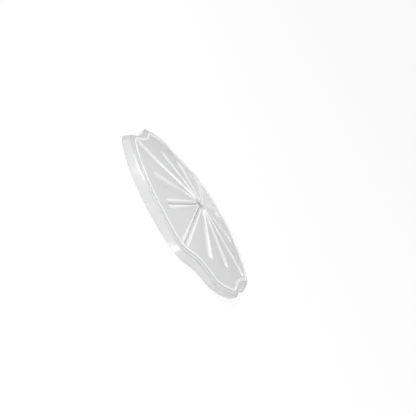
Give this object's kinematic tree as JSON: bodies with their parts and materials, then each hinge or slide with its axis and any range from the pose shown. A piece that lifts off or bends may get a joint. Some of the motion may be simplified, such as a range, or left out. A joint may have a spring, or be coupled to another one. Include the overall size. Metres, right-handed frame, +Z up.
{
  "type": "mixer whisk cleaner",
  "caption": "Clear flexible dish-shaped disc with star-joined radial wire slots, a raised border and a flared skirt, pushed along a mixer's wire whisk to wipe its wires.",
  "frame": {"origin": "middle of the face that the skirt's lower edge rests on", "axes": "+Z up out of the low cone (the side that faces the mixer), +Y across the two finger tabs, +X across the two long sides"},
  "size_m": [0.126, 0.134, 0.0137],
  "materials": {
    "whisk_cleaner": "clear milky flexible plastic, smooth glossy surface"
  },
  "bodies": {
    "root": {"whisk_cleaner": "whisk_cleaner"}
  },
  "joints": []
}
